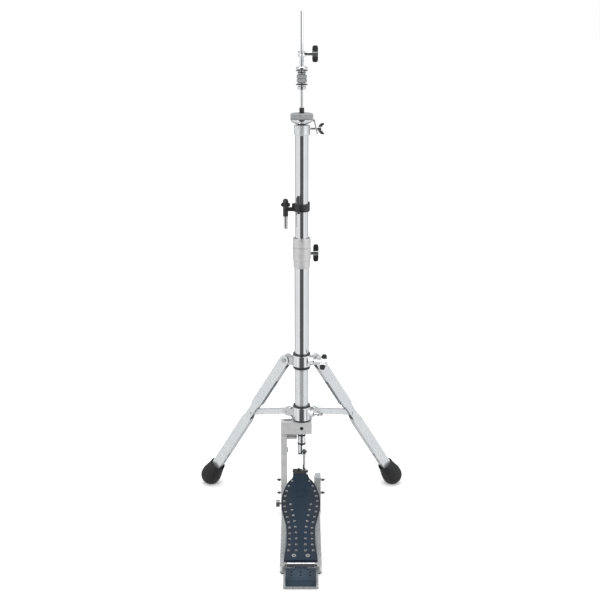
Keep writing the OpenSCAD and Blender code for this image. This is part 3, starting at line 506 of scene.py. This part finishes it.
def make_grips():
    """Moulded sleeves on the wings of the three large wing screws."""
    inner = 5.4 * MM
    rows = (
        ("clutch_wing_grips", "clutch_wing", 0, 0, 16.8 * MM),
        ("height_wing_grips", "height_wing", 0, 0, 19.4 * MM),
        ("hub_wing_grips", "hub_wing", -18, -37, 18 * MM),
    )
    for node, body, azimuth, turn, span in rows:
        low, high = (Vector(c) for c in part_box(node))
        place = Matrix.Rotation(math.radians(azimuth), 3, "Z")
        out = place @ Vector((1, 0, 0))
        up = place @ Matrix.Rotation(math.radians(turn), 3, "X") @ Vector((0, 0, 1))
        bm = bmesh.new()
        for side in (-1, 1):
            centre = (low + high) / 2 + up * side * (inner + span) / 2
            grip_pad(bm, centre, out, up * side, (span - inner) / 2)
        new_piece(node + "_moulded", bm, SLOT_OF[node], body, node, sharp=70)


# ---------- board details ----------

# The footboard's own sizes in mm, as in the CAD. s runs from its heel end towards the toe.
BOARD_SLOPE = math.radians(15.3)
BOARD_MIDDLE = -2
HEEL_HINGE = (-282, 28)
BOARD_START, WAIST, HIP, BALL, NECK = 9, 62, 90, 183, 256
HEEL_HALF, WAIST_HALF, BALL_HALF, NECK_HALF = 35, 30.4, 43.4, 20.5
FIRST_HOLE = 36
OUTER_ROW = {"count": 14, "pitch": 16.4, "inset": 6.8}
INNER_ROW = {"count": 9, "pitch": 17.2, "start": 9.6, "spread": 13}


def on_board(x, s, n):
    """A point x mm across, s mm along and n mm above the board, in the row frame."""
    c, t = math.cos(BOARD_SLOPE), math.sin(BOARD_SLOPE)
    y = HEEL_HINGE[0] + s * c - n * t
    z = HEEL_HINGE[1] + s * t + n * c
    return Vector((BOARD_MIDDLE + x, y, z)) * MM


def ease(value, low, high):
    """0 at low and 1 at high, level at both ends."""
    t = (value - low) / (high - low)
    return t * t * (3 - 2 * t)


def board_half(s):
    """Half the board's width, s mm from its heel end."""
    if s < WAIST:
        return HEEL_HALF + (WAIST_HALF - HEEL_HALF) * ease(s, BOARD_START, WAIST)
    if s < HIP:
        return WAIST_HALF
    if s < BALL:
        return WAIST_HALF + (BALL_HALF - WAIST_HALF) * ease(s, HIP, BALL)
    along = (s - BALL) / (NECK - BALL)
    return NECK_HALF + (BALL_HALF - NECK_HALF) * (1 - along ** 1.5) ** (2 / 3)


def inner_row(s):
    """Distance in mm of the inner row of holes from the board's middle."""
    return INNER_ROW["start"] + INNER_ROW["spread"] * (max(0, s - 75) / 99) ** 1.5


def make_hole_rings():
    """Bright countersunk rims in the holes of the board."""
    outer = [FIRST_HOLE + i * OUTER_ROW["pitch"] for i in range(OUTER_ROW["count"])]
    inner = [FIRST_HOLE + i * INNER_ROW["pitch"] for i in range(INNER_ROW["count"])]
    rows = [(board_half(s) - OUTER_ROW["inset"], s) for s in outer]
    rows += [(inner_row(s), s) for s in inner]
    section = [(2.62, 3.9), (2.3, 4.05), (1.9, 3.7), (1.35, 2.6), (1.2, 1.2), (2.62, 1.2)]
    turn = Matrix.Rotation(BOARD_SLOPE, 4, "X")
    bm = bmesh.new()
    for half, s in rows:
        for side in (-1, 1):
            ring = bmesh.new()
            lathe(ring, [(r * MM, n * MM) for r, n in section], 28)
            place = Matrix.Translation(on_board(side * half, s, 0)) @ turn
            bmesh.ops.transform(ring, matrix=place, verts=ring.verts)
            join_part(bm, ring)
    new_piece("board_hole_rims", bm, "steel", "footboard", None, sharp=40)


# ---------- return spring ----------


def make_spring():
    """A round-wire coil between the base and the pull rod's collar."""
    low, high = (Vector(c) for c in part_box("return_spring"))
    wire, turns, steps, sides = 1.1 * MM, 12, 576, 12
    radius = (high.x - low.x) / 2 - wire
    rise = high.z - low.z - 2 * wire
    bm = bmesh.new()
    rings = []
    for i in range(steps + 1):
        a = 2 * math.pi * turns * i / steps
        ring = []
        for k in range(sides):
            b = 2 * math.pi * k / sides
            r = radius + wire * math.cos(b)
            z = low.z + wire + rise * i / steps + wire * math.sin(b)
            ring.append(bm.verts.new((r * math.cos(a), r * math.sin(a), z)))
        rings.append(ring)
    for here, there in zip(rings, rings[1:]):
        for k in range(sides):
            n = (k + 1) % sides
            bm.faces.new((here[k], there[k], there[n], here[n]))
    bm.faces.new(rings[0])
    bm.faces.new(reversed(rings[-1]))
    spring = new_piece("return_spring_coil", bm, SLOT_OF["return_spring"], None, "return_spring",
                       sharp=60)
    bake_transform(spring)


# ---------- studio ----------


def make_camera():
    """Stands back from the drummer's side, a little above the seat, looking slightly down."""
    data = bpy.data.cameras.new("camera")
    data.sensor_width = 36
    data.lens = 60
    data.clip_end = 100
    camera = bpy.data.objects.new("camera", data)
    camera.location = (-0.0037, -2.104, 1.137)
    camera.rotation_euler = (math.radians(90 - 16.5), 0, 0)
    bpy.context.scene.collection.objects.link(camera)
    bpy.context.scene.camera = camera


def make_floor():
    """A plain pale floor out to the horizon."""
    bm = bmesh.new()
    steps = 64
    drop = 0.0004
    centre = bm.verts.new((0, 0, -drop))
    rings = []
    for r in (3.0, 30.0):
        angles = [2 * math.pi * i / steps for i in range(steps)]
        rings.append([bm.verts.new((r * math.cos(a), r * math.sin(a), -drop)) for a in angles])
    inner, outer = rings
    for i in range(steps):
        n = (i + 1) % steps
        bm.faces.new((centre, inner[i], inner[n]))
        bm.faces.new((inner[i], outer[i], outer[n], inner[n]))
    mesh = bpy.data.meshes.new("floor")
    bm.to_mesh(mesh)
    bm.free()
    mesh.shade_smooth()
    s = Shader("floor_paper")
    tone = s.noise(3, 3)
    s.set(Base_Color=s.ramp(tone, 0.94, 0.97), Roughness=0.9, Specular_IOR_Level=0.1,
          Emission_Color=(1.0, 1.0, 1.0), Emission_Strength=0.08)
    mesh.materials.append(s.mat)
    floor = bpy.data.objects.new("floor", mesh)
    bpy.context.scene.collection.objects.link(floor)
    floor.visible_glossy = False


def area_light(name, place, aim, size, watts):
    data = bpy.data.lights.new(name, "AREA")
    data.shape = "RECTANGLE"
    data.size, data.size_y = size
    data.energy = watts
    light = bpy.data.objects.new(name, data)
    light.location = place
    direction = Vector(aim) - Vector(place)
    light.rotation_euler = direction.to_track_quat("-Z", "Y").to_euler()
    bpy.context.scene.collection.objects.link(light)
    return light


def make_lights():
    aim = (0, 0, 0.5)
    area_light("key", (-2.2, -2.6, 3.0), aim, (1.6, 2.2), 48)
    area_light("fill", (2.6, -1.8, 2.0), aim, (1.4, 2.4), 30)
    area_light("top", (0, 0.6, 4.2), (0, 0, 0), (3.0, 3.0), 50)


def make_world():
    """White to the camera and on matt surfaces. Reflections see walls, dark on the drummer's side."""
    world = bpy.data.worlds.new("studio")
    world.use_nodes = True
    bpy.context.scene.world = world
    tree = world.node_tree
    background = tree.nodes["Background"]
    coords = tree.nodes.new("ShaderNodeTexCoord")
    split = tree.nodes.new("ShaderNodeSeparateXYZ")
    tree.links.new(coords.outputs["Generated"], split.inputs[0])
    heading = tree.nodes.new("ShaderNodeMath")
    heading.operation = "ARCTAN2"
    tree.links.new(split.outputs["X"], heading.inputs[0])
    tree.links.new(split.outputs["Y"], heading.inputs[1])
    share = tree.nodes.new("ShaderNodeMapRange")
    share.inputs["From Min"].default_value = -math.pi
    share.inputs["From Max"].default_value = math.pi
    tree.links.new(heading.outputs[0], share.inputs["Value"])
    walls = tree.nodes.new("ShaderNodeValToRGB")
    # share of a turn round from the drummer's side, and brightness there
    half = [(0.0, 0.10), (0.070, 0.12), (0.098, 0.95), (0.174, 1.0), (0.181, 0.40), (0.190, 0.95),
            (0.226, 0.92), (0.232, 0.40), (0.240, 0.95),
            (0.300, 0.92), (0.345, 0.55)]
    stops = half + [(0.5, 0.50)] + [(1 - place, value) for place, value in reversed(half)]
    walls.color_ramp.elements[0].position = stops[0][0]
    walls.color_ramp.elements[0].color = (stops[0][1],) * 3 + (1,)
    walls.color_ramp.elements[1].position = stops[-1][0]
    walls.color_ramp.elements[1].color = (stops[-1][1],) * 3 + (1,)
    for place, value in stops[1:-1]:
        walls.color_ramp.elements.new(place).color = (value, value, value * 1.01, 1)
    tree.links.new(share.outputs["Result"], walls.inputs["Fac"])
    ray = tree.nodes.new("ShaderNodeLightPath")
    choose = tree.nodes.new("ShaderNodeMix")
    choose.data_type = "RGBA"
    choose.inputs[6].default_value = (1, 1, 1, 1)
    tree.links.new(ray.outputs["Is Glossy Ray"], choose.inputs[0])
    tree.links.new(walls.outputs["Color"], choose.inputs[7])
    tree.links.new(choose.outputs[2], background.inputs["Color"])
    background.inputs["Strength"].default_value = 1.0
    bpy.context.scene.view_settings.view_transform = "Standard"


make_camera()
make_floor()
make_lights()
make_world()
finish_cad_nodes()
make_felts()
make_feet()
make_grips()
make_hole_rings()
make_spring()
